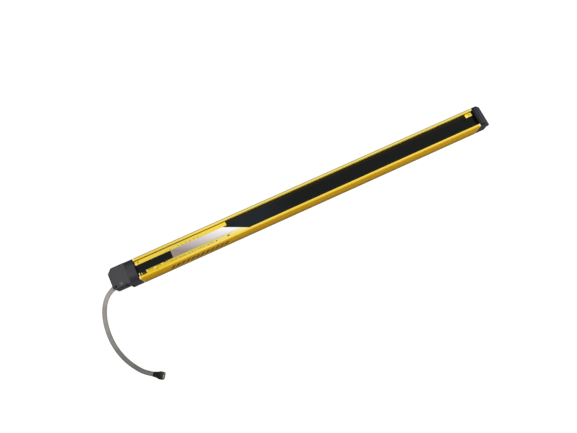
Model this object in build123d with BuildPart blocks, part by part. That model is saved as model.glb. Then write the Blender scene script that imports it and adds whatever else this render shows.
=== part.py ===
from build123d import *
import math
import os

# A safety light curtain bar that lies on its back. The window faces up and the cable leaves at the -X end.
# Lengths are millimetres. The origin is under the middle of the bar, on the surface that it lies on.

# Sizes of the bar
bar_width = 30.0
bar_depth = 30.0
profile_length = 518.0
cable_cap_length = 12.6
cable_block_length = 23.8
far_cap_length = 18.4

# Section of the extruded profile
front_corner_radius = 1.0
rear_corner_radius = 1.5
flange_width = 3.4
window_recess = 5.0
ledge_overlap = 1.2
ledge_thickness = 1.5
side_wall = 2.0
chamber_corner_radius = 0.8
board_rail_height = 2.5
board_rail_thickness = 1.0
board_rail_reach = 1.6
slot_mouth = 6.2
slot_lip = 1.8
slot_head = 11.6
slot_head_depth = 4.4
slot_web = 1.8
screw_port_inset = 4.6
screw_port_height = 4.6
screw_port_radius = 1.55
side_groove_height = 7.2
side_groove_width = 1.6
side_groove_depth = 1.0

# Window, seals, labels and lamps
seal_width = 0.6
seal_lip = 0.2
window_thickness = 2.0
label_thickness = 0.15
label_gap = 0.1
label_strip_width = 5.4
upper_strip_length = 132.5
lower_strip_start = 11.9
silver_label_start = 50.0
silver_label_end = 126.2
label_slant = 2.1
far_label_length = 10.0
far_label_margin = 1.0
lamp_count = 4
lamp_pitch = 2.4
lamp_length = 1.6
lamp_width = 2.6
lamp_height = 0.4
lamp_start = 3.0

# Beams, boards and lenses
beam_pitch = 20.0
beam_margin = 12.0
board_thickness = 1.6
board_clearance = 0.3
board_end_gap = 5.0
board_lead_in = 8.0
diode_side = 3.2
diode_height = 1.6
diode_taper = 12.0
lens_window_gap = 0.9
baffle_mouth = 12.0
baffle_throat = 6.0
lens_side_gap = 1.8
lens_strip_thickness = 1.0
lens_diameter = 11.0
lens_crown = 1.2
chip_side = 7.0
chip_height = 1.1
chip_pitch = 80.0
chip_count = 6
header_length = 6.0
header_width = 12.0
header_rise = 2.8

# End caps, gaskets and feet
gasket_thickness = 0.8
gasket_inset = 0.3
cap_foot_plate = 5.2
foot_height = 9.0
foot_length = 10.8
foot_corner = 1.6
foot_hole_radius = 2.1
foot_hole_depth = 7.5
cap_edge_radius = 0.8
spigot_reach = 4.5
spigot_clearance = 0.25
spigot_wall = 2.0
cap_wall = 1.8
end_corner_radius = 2.5
nose_front_reach = 8.0
nose_shelf_reach = 14.8
nose_shelf_rise = 3.5
nose_face_height = 5.0
nose_groove_start = 2.2
nose_groove_width = 1.1
nose_groove_depth = 0.8

# Long screws of the ends
end_screw_radius = 1.5
end_screw_engagement = 12.0
end_screw_head_radius = 2.75
end_screw_head_height = 3.0
end_screw_clearance = 0.2
end_screw_socket = 1.25
end_screw_socket_depth = 1.5

# Cable block
block_depth = 15.6
block_base_thickness = 1.8
block_wall = 2.0
block_chamfer_along = 6.0
block_chamfer_across = 7.6
block_exit_chamfer = 3.0
block_edge_radius = 0.9
block_notch_start = 4.4
block_notch_length = 3.4
block_notch_depth = 1.3
block_notch_height = 8.0
block_screw_from_cap = 12.4
block_screw_inset = 5.6
block_boss_radius = 2.6
block_screw_radius = 1.25
block_screw_head_radius = 2.1
block_screw_head_height = 1.5
block_screw_sink = 0.6
block_screw_slot = 0.5
block_screw_slot_depth = 0.75
block_dimple_radius = 1.5
block_dimple_inset = 4.0
block_hole_radius = 0.9
block_hole_inset = 2.8
block_hole_from_cap = 6.3
block_dimple_depth = 1.2

# Cable, grommet and leads
cable_diameter = 6.0
cable_first_run = 10.0
cable_last_run = 9.5
bend_share = 0.45
exit_angle = 22.0
exit_inset = 6.0
exit_below_front = 9.7
grommet_radius = 3.9
grommet_tip_radius = 3.4
grommet_inside = 5.0
grommet_outside = 2.0
grommet_clearance = 0.1
leads_diameter = 4.0
leads_clearance = 0.5

# Plug
plug_heading = -35.0
plug_boot_length = 7.0
plug_boot_tip_radius = 3.5
plug_boot_rear_radius = 4.5
plug_boot_dip = 0.2
plug_body_length = 8.0
plug_body_radius = 5.25
plug_rib_count = 12
plug_rib_depth = 0.35
plug_shell_length = 3.0
plug_shell_radius = 4.9
plug_shell_wall = 0.6
plug_shell_seat = 1.5
plug_insert_depth = 1.4
plug_pin_radius = 0.4
plug_pin_circle = 2.6
plug_pin_count = 7
plug_pin_length = 1.2
plug_rest_height = 5.3
plug_behind_profile = 34.7
plug_beside_bar = 116.5

# Places along the bar
total_length = cable_block_length + cable_cap_length + profile_length + far_cap_length
block_end_x = -total_length / 2
profile_start = block_end_x + cable_block_length + cable_cap_length
profile_end = profile_start + profile_length
profile_middle = (profile_start + profile_end) / 2
cap_face_x = profile_start - gasket_thickness
block_face_x = profile_start - cable_cap_length
far_cap_face_x = profile_end + gasket_thickness
foot_face_x = cap_face_x - cap_foot_plate
foot_end_x = foot_face_x - foot_length

# Heights and half widths in the section
channel_half = bar_width / 2 - flange_width
window_half = channel_half - seal_width
aperture_half = window_half - ledge_overlap
chamber_half = bar_width / 2 - side_wall
window_top = bar_depth - window_recess
ledge_top = window_top - window_thickness
chamber_top = ledge_top - ledge_thickness
chamber_floor = slot_lip + slot_head_depth + slot_web
port_y = bar_width / 2 - screw_port_inset
board_bottom = chamber_floor + board_rail_height
board_top = board_bottom + board_thickness
board_half = chamber_half - board_clearance
lens_top = ledge_top - lens_window_gap - lens_crown
baffle_top = lens_top - lens_strip_thickness
baffle_height = baffle_top - board_top
lens_strip_width = 2 * (aperture_half - lens_side_gap)
exit_height = bar_depth - exit_below_front
exit_offset = -(bar_width / 2 - exit_inset)
header_height = exit_height + header_rise - board_top
block_rear_height = bar_depth - block_depth

# Beams along the bar
beam_count = int((profile_length - 2 * beam_margin) / beam_pitch) + 1
beam_span = (beam_count - 1) * beam_pitch
first_beam_x = profile_middle - beam_span / 2
optics_half_length = beam_span / 2 + beam_margin - board_end_gap

os.makedirs("parts", exist_ok=True)


def write(piece, name):
    piece.part.label = name
    export_step(piece.part, "parts/" + name + ".step")


# Profile: two flanges with a ledge for the window, a chamber with board rails, a web and the rear T-slot
with BuildPart() as housing_profile:
    with BuildSketch(Plane.YZ.offset(profile_start)) as profile_section:
        with Locations((0, bar_depth / 2)):
            Rectangle(bar_width, bar_depth)
        fillet(profile_section.vertices().group_by(Axis.Y)[0], rear_corner_radius)
        fillet(profile_section.vertices().group_by(Axis.Y)[-1], front_corner_radius)
        with Locations((0, (ledge_top + bar_depth) / 2)):
            Rectangle(2 * channel_half, bar_depth - ledge_top, mode=Mode.SUBTRACT)
        with Locations((0, (chamber_top + ledge_top) / 2)):
            Rectangle(2 * aperture_half, ledge_thickness, mode=Mode.SUBTRACT)
        with Locations((0, (chamber_floor + chamber_top) / 2)):
            RectangleRounded(
                2 * chamber_half, chamber_top - chamber_floor, chamber_corner_radius, mode=Mode.SUBTRACT
            )
        with Locations((0, slot_lip / 2)):
            Rectangle(slot_mouth, slot_lip, mode=Mode.SUBTRACT)
        with Locations((0, slot_lip + slot_head_depth / 2)):
            Rectangle(slot_head, slot_head_depth, mode=Mode.SUBTRACT)
        with Locations((-port_y, screw_port_height), (port_y, screw_port_height)):
            Circle(screw_port_radius, mode=Mode.SUBTRACT)
        side_y = bar_width / 2 - side_groove_depth / 2
        with Locations((-side_y, side_groove_height), (side_y, side_groove_height)):
            Rectangle(side_groove_depth, side_groove_width, mode=Mode.SUBTRACT)
        rail_y = chamber_half - board_rail_reach / 2
        rail_z = board_bottom - board_rail_thickness / 2
        with Locations((-rail_y, rail_z), (rail_y, rail_z)):
            Rectangle(board_rail_reach, board_rail_thickness)
    extrude(amount=profile_length)
write(housing_profile, "housing_profile")

# Window strip between the seals, on the ledges
with BuildPart() as front_window:
    with BuildSketch(Plane.YZ.offset(profile_start)):
        with Locations((0, (ledge_top + window_top) / 2)):
            Rectangle(2 * window_half, window_thickness)
    extrude(amount=profile_length)
write(front_window, "front_window")

# Rubber strips that fill the gap between the window's edges and the flanges
for side, name in ((-1, "window_seal_right"), (1, "window_seal_left")):
    with BuildPart() as window_seal:
        with BuildSketch(Plane.YZ.offset(profile_start)):
            with BuildLine():
                inner_y = side * window_half
                outer_y = side * channel_half
                Polyline(
                    (inner_y, ledge_top),
                    (outer_y, ledge_top),
                    (outer_y, window_top + 2 * seal_lip),
                    (inner_y, window_top + seal_lip),
                    close=True,
                )
            make_face()
        extrude(amount=profile_length)
    write(window_seal, name)

# Labels on the window: two edge strips, a silver field between them with a slanted end, a small far label
label_plane = Plane.XY.offset(window_top)
strip_outer = window_half - label_gap
strip_inner = strip_outer - label_strip_width
field_half = strip_inner - label_gap
strip_middle = (strip_outer + strip_inner) / 2


def slanted_x(y):
    return profile_start + silver_label_end + label_slant * (strip_inner - y)


with BuildPart() as upper_label_strip:
    with BuildSketch(label_plane):
        with Locations((profile_start + upper_strip_length / 2, strip_middle)):
            Rectangle(upper_strip_length - 2 * label_gap, label_strip_width)
    extrude(amount=label_thickness)
write(upper_label_strip, "upper_label_strip")

with BuildPart() as lower_label_strip:
    with BuildSketch(label_plane):
        with BuildLine():
            Polyline(
                (profile_start + lower_strip_start, -strip_inner),
                (profile_start + lower_strip_start, -strip_outer),
                (slanted_x(-strip_outer), -strip_outer),
                (slanted_x(-strip_inner), -strip_inner),
                close=True,
            )
        make_face()
    extrude(amount=label_thickness)
write(lower_label_strip, "lower_label_strip")

with BuildPart() as silver_label:
    with BuildSketch(label_plane):
        with BuildLine():
            Polyline(
                (profile_start + silver_label_start, field_half),
                (profile_start + silver_label_start, -field_half),
                (slanted_x(-field_half), -field_half),
                (slanted_x(field_half), field_half),
                close=True,
            )
        make_face()
    extrude(amount=label_thickness)
write(silver_label, "silver_label")

with BuildPart() as far_end_label:
    with BuildSketch(label_plane):
        with Locations((profile_end - far_label_margin - far_label_length / 2, strip_middle)):
            Rectangle(far_label_length, label_strip_width)
    extrude(amount=label_thickness)
write(far_end_label, "far_end_label")

# Status lamps in a row where the lower strip begins
with BuildPart() as status_lamps:
    with BuildSketch(label_plane):
        for lamp in range(lamp_count):
            with Locations((profile_start + lamp_start + lamp * lamp_pitch, -strip_middle)):
                Rectangle(lamp_length, lamp_width)
    extrude(amount=lamp_height)
write(status_lamps, "status_lamps")

# Board on the rails. Its cable end reaches into the end cap
board_start = profile_start - board_lead_in
board_end = profile_end - board_end_gap
with BuildPart() as main_board:
    with BuildSketch(Plane.XY.offset(board_bottom)):
        with Locations(((board_start + board_end) / 2, 0)):
            Rectangle(board_end - board_start, 2 * board_half)
    extrude(amount=board_thickness)
write(main_board, "main_board")

with BuildPart() as emitter_diodes:
    with BuildSketch(Plane.XY.offset(board_top)):
        with Locations((profile_middle, 0)):
            with GridLocations(beam_pitch, 1, beam_count, 1):
                Rectangle(diode_side, diode_side)
    extrude(amount=diode_height, taper=diode_taper)
write(emitter_diodes, "emitter_diodes")

# Baffle: a bar with one tapered pit for each beam
with BuildPart() as beam_baffle:
    with BuildSketch(Plane.XY.offset(board_top)):
        with Locations((profile_middle, 0)):
            Rectangle(2 * optics_half_length, 2 * board_half)
    extrude(amount=baffle_height)
    pit_taper = math.degrees(math.atan((baffle_mouth - baffle_throat) / 2 / baffle_height))
    with BuildSketch(Plane.XY.offset(baffle_top)):
        with Locations((profile_middle, 0)):
            with GridLocations(beam_pitch, 1, beam_count, 1):
                Rectangle(baffle_mouth, baffle_mouth)
    extrude(amount=-baffle_height, taper=pit_taper, mode=Mode.SUBTRACT)
write(beam_baffle, "beam_baffle")

# Lens strip: a flat strip with a shallow dome over each pit
dome_radius = ((lens_diameter / 2) ** 2 + lens_crown**2) / (2 * lens_crown)
with BuildPart() as lens_dome:
    with BuildSketch(Plane.XZ):
        with BuildLine():
            RadiusArc((0, lens_crown), (lens_diameter / 2, 0), dome_radius)
            Line((lens_diameter / 2, 0), (0, 0))
            Line((0, 0), (0, lens_crown))
        make_face()
    revolve(axis=Axis.Z)
with BuildPart() as lens_strip:
    with BuildSketch(Plane.XY.offset(baffle_top)):
        with Locations((profile_middle, 0)):
            Rectangle(2 * optics_half_length, lens_strip_width)
    extrude(amount=lens_strip_thickness)
    for beam in range(beam_count):
        with Locations((first_beam_x + beam * beam_pitch, 0, lens_top)):
            add(lens_dome.part)
write(lens_strip, "lens_strip")

# Driver chips under the board
with BuildPart() as driver_chips:
    with BuildSketch(Plane.XY.offset(board_bottom)):
        with Locations((profile_middle, 0)):
            with GridLocations(chip_pitch, 1, chip_count, 1):
                Rectangle(chip_side, chip_side)
    extrude(amount=-chip_height)
write(driver_chips, "driver_chips")

# Header on the board, inside the end cap. Its -X face takes the leads
header_face_x = board_start
exit_direction = Vector(-math.cos(math.radians(exit_angle)), -math.sin(math.radians(exit_angle)), 0)
exit_point = Vector(block_end_x, exit_offset, exit_height)
grommet_inner_end = exit_point - exit_direction * grommet_inside
leads_bend_x = (header_face_x + grommet_inner_end.X) / 2
leads_y = exit_offset + (leads_bend_x - block_end_x) * math.tan(math.radians(exit_angle))
with BuildPart() as board_header:
    with BuildSketch(Plane.XY.offset(board_top)):
        with Locations((header_face_x + header_length / 2, leads_y)):
            Rectangle(header_length, header_width)
    extrude(amount=header_height)
    chamfer(board_header.edges().filter_by(Axis.X).group_by(Axis.Z)[-1], length=cap_edge_radius)
write(board_header, "board_header")


def bar_outline(inset):
    """Square of the bar with the corner radii of the caps."""
    with BuildSketch(mode=Mode.PRIVATE) as outline:
        with Locations((0, bar_depth / 2)):
            Rectangle(bar_width - 2 * inset, bar_depth - 2 * inset)
        fillet(outline.vertices().group_by(Axis.Y)[0], end_corner_radius)
        fillet(outline.vertices().group_by(Axis.Y)[-1], front_corner_radius)
    return outline.sketch


# Gaskets between the profile and the caps, open where the board and the spigot pass
spigot_width = 2 * (chamber_half - board_rail_reach - spigot_clearance)
spigot_bottom = board_bottom + spigot_clearance
spigot_top = chamber_top - spigot_clearance
spigot_height = spigot_top - spigot_bottom
for face_x, name in ((cap_face_x, "cable_end_gasket"), (profile_end, "far_end_gasket")):
    with BuildPart() as gasket:
        with BuildSketch(Plane.YZ.offset(face_x)):
            add(bar_outline(gasket_inset))
            with Locations((0, (board_bottom + chamber_top) / 2)):
                opening_height = chamber_top - board_bottom + 2 * spigot_clearance
                Rectangle(2 * chamber_half, opening_height, mode=Mode.SUBTRACT)
            with Locations((-port_y, screw_port_height), (port_y, screw_port_height)):
                Circle(screw_port_radius, mode=Mode.SUBTRACT)
        extrude(amount=gasket_thickness)
    write(gasket, name)

# Cable-end cap: a body in front, a thin plate behind the foot, a hollow for the header and an arched spigot
cavity_bottom = board_bottom - board_clearance
arch_half = chamber_half - spigot_clearance
arch_bottom = board_top + board_clearance
cavity_half = arch_half - spigot_wall
leads_hole_radius = leads_diameter / 2 + leads_clearance
with BuildPart() as cable_end_cap:
    with BuildSketch(Plane.YZ.offset(cap_face_x)):
        add(bar_outline(0))
    extrude(amount=-(cable_cap_length - gasket_thickness))
    with BuildSketch(Plane.XZ):
        with Locations(((block_face_x + foot_face_x) / 2, foot_height / 2)):
            Rectangle(foot_face_x - block_face_x, foot_height)
    extrude(amount=bar_width, both=True, mode=Mode.SUBTRACT)
    with BuildSketch(Plane.YZ.offset(cap_face_x)):
        with Locations((0, (cavity_bottom + bar_depth - cap_wall) / 2)):
            Rectangle(2 * cavity_half, bar_depth - cap_wall - cavity_bottom)
        with Locations((0, board_bottom + board_thickness / 2)):
            Rectangle(2 * chamber_half, board_thickness + 2 * board_clearance)
    extrude(amount=-(cable_cap_length - gasket_thickness - cap_wall), mode=Mode.SUBTRACT)
    with BuildSketch(Plane.YZ.offset(cap_face_x)):
        with Locations((0, (arch_bottom + spigot_top) / 2)):
            Rectangle(2 * arch_half, spigot_top - arch_bottom)
        with Locations((0, (arch_bottom + spigot_top - spigot_wall) / 2)):
            Rectangle(2 * cavity_half, spigot_top - spigot_wall - arch_bottom, mode=Mode.SUBTRACT)
    extrude(amount=gasket_thickness + spigot_reach)
    with BuildSketch(Plane.YZ.offset(block_face_x)):
        with Locations((leads_y, exit_height)):
            Circle(leads_hole_radius)
    extrude(amount=cap_wall, mode=Mode.SUBTRACT)
    with BuildSketch(Plane.YZ.offset(cap_face_x)):
        with Locations((-port_y, screw_port_height), (port_y, screw_port_height)):
            Circle(end_screw_radius + end_screw_clearance)
    extrude(amount=-cap_foot_plate, mode=Mode.SUBTRACT)
write(cable_end_cap, "cable_end_cap")

# Far-end cap: a body with a sloping nose over the foot and a cross groove in its front face
nose_x = profile_end + far_cap_length
with BuildPart() as far_end_cap:
    with BuildSketch(Plane.XZ):
        with BuildLine():
            Polyline(
                (far_cap_face_x, 0),
                (far_cap_face_x + cap_foot_plate, 0),
                (far_cap_face_x + cap_foot_plate, foot_height),
                (profile_end + nose_shelf_reach, foot_height),
                (profile_end + nose_shelf_reach, foot_height + nose_shelf_rise),
                (nose_x, foot_height + nose_shelf_rise),
                (nose_x, foot_height + nose_shelf_rise + nose_face_height),
                (profile_end + nose_front_reach, bar_depth),
                (far_cap_face_x, bar_depth),
                close=True,
            )
        make_face()
    extrude(amount=bar_width / 2, both=True)
    fillet(far_end_cap.edges().filter_by(Axis.X).group_by(Axis.Z)[-1], front_corner_radius)
    fillet(far_end_cap.edges().filter_by(Axis.X).group_by(Axis.Z)[0], end_corner_radius)
    with BuildSketch(Plane.XZ):
        with Locations((far_cap_face_x + nose_groove_start + nose_groove_width / 2, bar_depth)):
            Rectangle(nose_groove_width, 2 * nose_groove_depth)
    extrude(amount=bar_width / 2, both=True, mode=Mode.SUBTRACT)
    with BuildSketch(Plane.YZ.offset(far_cap_face_x)):
        with Locations((0, (spigot_bottom + spigot_top) / 2)):
            Rectangle(spigot_width, spigot_height)
            Rectangle(spigot_width - 2 * spigot_wall, spigot_height - 2 * spigot_wall, mode=Mode.SUBTRACT)
    extrude(amount=-(gasket_thickness + spigot_reach))
    with BuildSketch(Plane.YZ.offset(far_cap_face_x)):
        with Locations((0, (spigot_bottom + spigot_top) / 2)):
            Rectangle(spigot_width - 2 * spigot_wall, spigot_height - 2 * spigot_wall)
    extrude(amount=nose_front_reach - gasket_thickness - cap_wall, mode=Mode.SUBTRACT)
    with BuildSketch(Plane.YZ.offset(far_cap_face_x)):
        with Locations((-port_y, screw_port_height), (port_y, screw_port_height)):
            Circle(end_screw_radius + end_screw_clearance)
    extrude(amount=cap_foot_plate, mode=Mode.SUBTRACT)
write(far_end_cap, "far_end_cap")

# Mounting feet: die-cast blocks with two counterbored screw holes and a threaded hole in the rear face
foot_middle_x = (foot_end_x + foot_face_x) / 2
with BuildPart() as cable_end_foot:
    with BuildSketch(Plane.YZ.offset(foot_end_x)):
        with Locations((0, foot_height / 2)):
            Rectangle(bar_width, foot_height)
    extrude(amount=foot_length)
    fillet(cable_end_foot.edges().filter_by(Axis.X).group_by(Axis.Z)[0], end_corner_radius)
    fillet(cable_end_foot.edges().filter_by(Axis.Z).group_by(Axis.X)[0], foot_corner)
    with BuildSketch(Plane.YZ.offset(foot_end_x)):
        with Locations((-port_y, screw_port_height), (port_y, screw_port_height)):
            Circle(end_screw_head_radius + end_screw_clearance)
    extrude(amount=end_screw_head_height, mode=Mode.SUBTRACT)
    with BuildSketch(Plane.YZ.offset(foot_end_x)):
        with Locations((-port_y, screw_port_height), (port_y, screw_port_height)):
            Circle(end_screw_radius + end_screw_clearance)
    extrude(amount=foot_length, mode=Mode.SUBTRACT)
    with BuildSketch(Plane.XY):
        with Locations((foot_middle_x, 0)):
            Circle(foot_hole_radius)
    extrude(amount=foot_hole_depth, mode=Mode.SUBTRACT)
write(cable_end_foot, "cable_end_foot")

far_side = Plane.YZ.offset(profile_middle)
with BuildPart() as far_end_foot:
    add(cable_end_foot.part)
    mirror(about=far_side, mode=Mode.REPLACE)
write(far_end_foot, "far_end_foot")

# Socket-head screws that clamp foot, cap and gasket to the profile
screw_tip_x = profile_start + end_screw_engagement
screw_head_x = foot_end_x + end_screw_head_height
with BuildPart() as cable_end_screws:
    with BuildSketch(Plane.YZ.offset(foot_end_x)):
        with Locations((-port_y, screw_port_height), (port_y, screw_port_height)):
            Circle(end_screw_head_radius)
    extrude(amount=end_screw_head_height)
    with BuildSketch(Plane.YZ.offset(screw_head_x)):
        with Locations((-port_y, screw_port_height), (port_y, screw_port_height)):
            Circle(end_screw_radius)
    extrude(amount=screw_tip_x - screw_head_x)
    with BuildSketch(Plane.YZ.offset(foot_end_x)):
        with Locations((-port_y, screw_port_height), (port_y, screw_port_height)):
            RegularPolygon(end_screw_socket, 6, major_radius=False)
    extrude(amount=end_screw_socket_depth, mode=Mode.SUBTRACT)
write(cable_end_screws, "cable_end_screws")

with BuildPart() as far_end_screws:
    add(cable_end_screws.part)
    mirror(about=far_side, mode=Mode.REPLACE)
write(far_end_screws, "far_end_screws")

# Cable block: a cover that opens to the rear and to the cap, with a cut corner where the cable leaves
block_half = bar_width / 2
block_base_top = block_rear_height + block_base_thickness
block_screw_x = block_face_x - block_screw_from_cap
block_screw_offset = block_half - block_screw_inset


def block_outline():
    """Plan of the block, with a large cut at the +Y corner and a small one at the -Y corner."""
    with BuildSketch(mode=Mode.PRIVATE) as outline:
        with BuildLine():
            Polyline(
                (block_face_x, -block_half),
                (block_end_x + block_exit_chamfer, -block_half),
                (block_end_x, -block_half + block_exit_chamfer),
                (block_end_x, block_half - block_chamfer_across),
                (block_end_x + block_chamfer_along, block_half),
                (block_face_x, block_half),
                close=True,
            )
        make_face()
    return outline.sketch


def shift_to(height):
    return Plane.XY.offset(height)


grommet_plane = Plane(origin=grommet_inner_end, z_dir=exit_direction)
with BuildPart() as cable_block_cover:
    with BuildSketch(shift_to(block_base_top)):
        add(block_outline())
    extrude(amount=bar_depth - block_base_top)
    fillet(cable_block_cover.faces().sort_by(Axis.Z)[-1].edges(), block_edge_radius)
    with BuildSketch(shift_to(block_base_top)) as block_hollow:
        add(block_outline())
        offset(amount=-block_wall, kind=Kind.INTERSECTION, mode=Mode.REPLACE)
        with Locations((block_face_x - block_wall / 2, 0)):
            Rectangle(block_wall, 2 * (block_half - block_wall))
    extrude(amount=bar_depth - block_base_top - block_wall, mode=Mode.SUBTRACT)
    with BuildSketch(shift_to(block_base_top)):
        with Locations((block_screw_x, -block_screw_offset)):
            Circle(block_boss_radius)
    extrude(amount=bar_depth - block_base_top - block_wall)
    with Locations((block_screw_x, -block_screw_offset, bar_depth)):
        CounterBoreHole(
            block_screw_radius + end_screw_clearance,
            block_screw_head_radius + end_screw_clearance,
            block_screw_sink + block_screw_head_height,
        )
    with BuildSketch(shift_to(bar_depth)):
        with Locations((block_end_x + block_dimple_inset, -block_half + block_dimple_inset)):
            Circle(block_dimple_radius)
        with Locations((block_face_x - block_hole_from_cap, -block_half + block_hole_inset)):
            Circle(block_hole_radius)
    extrude(amount=-block_dimple_depth, mode=Mode.SUBTRACT)
    notch_x = block_face_x - block_notch_start - block_notch_length / 2
    with BuildSketch(shift_to(bar_depth)):
        with Locations((notch_x, -block_half), (notch_x, block_half)):
            Rectangle(block_notch_length, 2 * block_notch_depth)
    extrude(amount=-block_notch_height, mode=Mode.SUBTRACT)
    with BuildSketch(grommet_plane):
        Circle(grommet_radius + grommet_clearance)
    extrude(amount=grommet_inside + block_exit_chamfer, mode=Mode.SUBTRACT)
write(cable_block_cover, "cable_block_cover")

with BuildPart() as cable_block_base:
    with BuildSketch(shift_to(block_rear_height)):
        add(block_outline())
    extrude(amount=block_base_thickness)
    with Locations((block_screw_x, -block_screw_offset, block_base_top)):
        Hole(block_screw_radius)
write(cable_block_base, "cable_block_base")

with BuildPart() as cable_block_screw:
    screw_top = bar_depth - block_screw_sink
    with BuildSketch(shift_to(screw_top)):
        with Locations((block_screw_x, -block_screw_offset)):
            Circle(block_screw_head_radius)
    extrude(amount=-block_screw_head_height)
    with BuildSketch(shift_to(screw_top - block_screw_head_height)):
        with Locations((block_screw_x, -block_screw_offset)):
            Circle(block_screw_radius)
    extrude(amount=-(screw_top - block_screw_head_height - block_rear_height))
    with BuildSketch(shift_to(screw_top)):
        with Locations((block_screw_x, -block_screw_offset)):
            Rectangle(2 * block_screw_radius, block_screw_slot)
            Rectangle(block_screw_slot, 2 * block_screw_radius)
    extrude(amount=-block_screw_slot_depth, mode=Mode.SUBTRACT)
write(cable_block_screw, "cable_block_screw")

# Grommet: a sleeve in the block's corner, tapered where it stands out
grommet_length = grommet_inside + grommet_outside
with BuildPart() as cable_grommet:
    with BuildSketch(Plane(origin=grommet_inner_end, x_dir=exit_direction, z_dir=(0, 0, 1))):
        with BuildLine():
            Polyline(
                (0, 0),
                (grommet_length, 0),
                (grommet_length, grommet_tip_radius),
                (grommet_inside, grommet_radius),
                (0, grommet_radius),
                close=True,
            )
        make_face()
    revolve(axis=Axis(grommet_inner_end, exit_direction))
write(cable_grommet, "cable_grommet")


def arc_radii(points):
    """Largest arcs that the runs beside each corner allow."""
    radii = []
    for before, corner, after in zip(points, points[1:], points[2:]):
        run_in = Vector(*corner) - Vector(*before)
        run_out = Vector(*after) - Vector(*corner)
        half_turn = math.radians(run_in.get_angle(run_out)) / 2
        radii.append(bend_share * min(run_in.length, run_out.length) / math.tan(half_turn))
    return radii


def tube_along(points, diameter):
    """Round tube along straight runs joined by tangent arcs."""
    radii = arc_radii(points)
    with BuildPart() as tube:
        with BuildLine() as route:
            FilletPolyline(*points, radius=radii)
        start = Vector(*points[0])
        with BuildSketch(Plane(origin=start, z_dir=Vector(*points[1]) - start)):
            Circle(diameter / 2)
        sweep(path=route.wires()[0])
    route_length = route.wires()[0].length
    share = tube.part.volume / (math.pi * diameter**2 / 4 * route_length)
    print("radii", [round(r, 1) for r in radii])
    print("length", round(route_length, 1), "volume share", round(share, 4))
    return tube


# Leads from the header to the grommet
leads_points = [
    (header_face_x, leads_y, exit_height),
    (leads_bend_x, leads_y, exit_height),
    tuple(grommet_inner_end),
]
inner_leads = tube_along(leads_points, leads_diameter)
write(inner_leads, "inner_leads")

# Cable: out of the grommet, down to the surface and round to the plug. Points run from the profile's end
cable_radius = cable_diameter / 2
plug_direction = Vector(math.cos(math.radians(plug_heading)), math.sin(math.radians(plug_heading)), 0)
cable_start = exit_point + exit_direction * grommet_outside
plug_start = Vector(profile_start - plug_behind_profile, -bar_width / 2 - plug_beside_bar, plug_rest_height)
cable_points = [
    tuple(cable_start),
    tuple(cable_start + exit_direction * cable_first_run),
    (profile_start - 55.8, -18.4, 16.8),
    (profile_start - 61.6, -25.8, 11.3),
    (profile_start - 64.8, -35.6, 6.0),
    (profile_start - 67.1, -47.8, cable_radius),
    (profile_start - 68.1, -61.2, cable_radius),
    (profile_start - 67.6, -75.5, cable_radius),
    (profile_start - 64.5, -89.9, cable_radius),
    (profile_start - 58.2, -103.9, cable_radius),
    (profile_start - 50.4, -116.6, cable_radius),
    tuple(plug_start - plug_direction * cable_last_run),
    tuple(plug_start),
]
cable = tube_along(cable_points, cable_diameter)
write(cable, "cable")

# Plug: boot, ribbed body, metal shell, insert and pins on one axis
plug_plane = Plane(origin=plug_start, x_dir=plug_direction, z_dir=(0, 0, 1))
plug_axis = Axis(plug_start, plug_direction)
body_start = plug_boot_length
body_end = body_start + plug_body_length
shell_seat_start = body_end - plug_shell_seat
shell_end = shell_seat_start + plug_shell_length
shell_inner_radius = plug_shell_radius - plug_shell_wall


def plug_section(distance):
    return Plane(origin=plug_start + plug_direction * distance, z_dir=plug_direction)


with BuildPart() as plug_boot:
    with BuildSketch(plug_plane):
        with BuildLine():
            Polyline(
                (0, 0),
                (body_start, 0),
                (body_start, plug_boot_rear_radius),
            )
            Spline(
                (body_start, plug_boot_rear_radius),
                (body_start / 2, (plug_boot_tip_radius + plug_boot_rear_radius) / 2 - plug_boot_dip),
                (0, plug_boot_tip_radius),
            )
            Line((0, plug_boot_tip_radius), (0, 0))
        make_face()
    revolve(axis=plug_axis)
write(plug_boot, "plug_boot")

with BuildPart() as plug_body:
    with BuildSketch(plug_section(body_start)):
        Circle(plug_body_radius)
    extrude(amount=plug_body_length)
    chamfer(plug_body.edges().filter_by(GeomType.CIRCLE), length=2 * plug_rib_depth)
    with BuildSketch(plug_section(body_start)):
        with PolarLocations(plug_body_radius, plug_rib_count):
            Rectangle(2 * plug_rib_depth, 2 * plug_rib_depth)
    extrude(amount=plug_body_length - plug_shell_seat, mode=Mode.SUBTRACT)
    with BuildSketch(plug_section(shell_seat_start)):
        Circle(plug_shell_radius)
    extrude(amount=plug_shell_seat, mode=Mode.SUBTRACT)
write(plug_body, "plug_body")

with BuildPart() as plug_shell:
    with BuildSketch(plug_section(shell_seat_start)):
        Circle(plug_shell_radius)
        Circle(shell_inner_radius, mode=Mode.SUBTRACT)
    extrude(amount=plug_shell_length)
write(plug_shell, "plug_shell")

with BuildPart() as plug_insert:
    with BuildSketch(plug_section(shell_seat_start)):
        Circle(shell_inner_radius)
    extrude(amount=plug_insert_depth)
write(plug_insert, "plug_insert")

with BuildPart() as plug_pins:
    with BuildSketch(plug_section(shell_seat_start + plug_insert_depth)):
        with PolarLocations(plug_pin_circle, plug_pin_count):
            Circle(plug_pin_radius)
        Circle(plug_pin_radius)
    extrude(amount=plug_pin_length)
write(plug_pins, "plug_pins")

print("total length", total_length, "beams", beam_count, "first beam", round(first_beam_x, 2))
print("foot holes at", round(foot_middle_x, 3), round(2 * profile_middle - foot_middle_x, 3))
print("plug tip", plug_start + plug_direction * shell_end)
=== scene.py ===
import math

import bmesh
import bpy
from mathutils import Matrix, Vector


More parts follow.
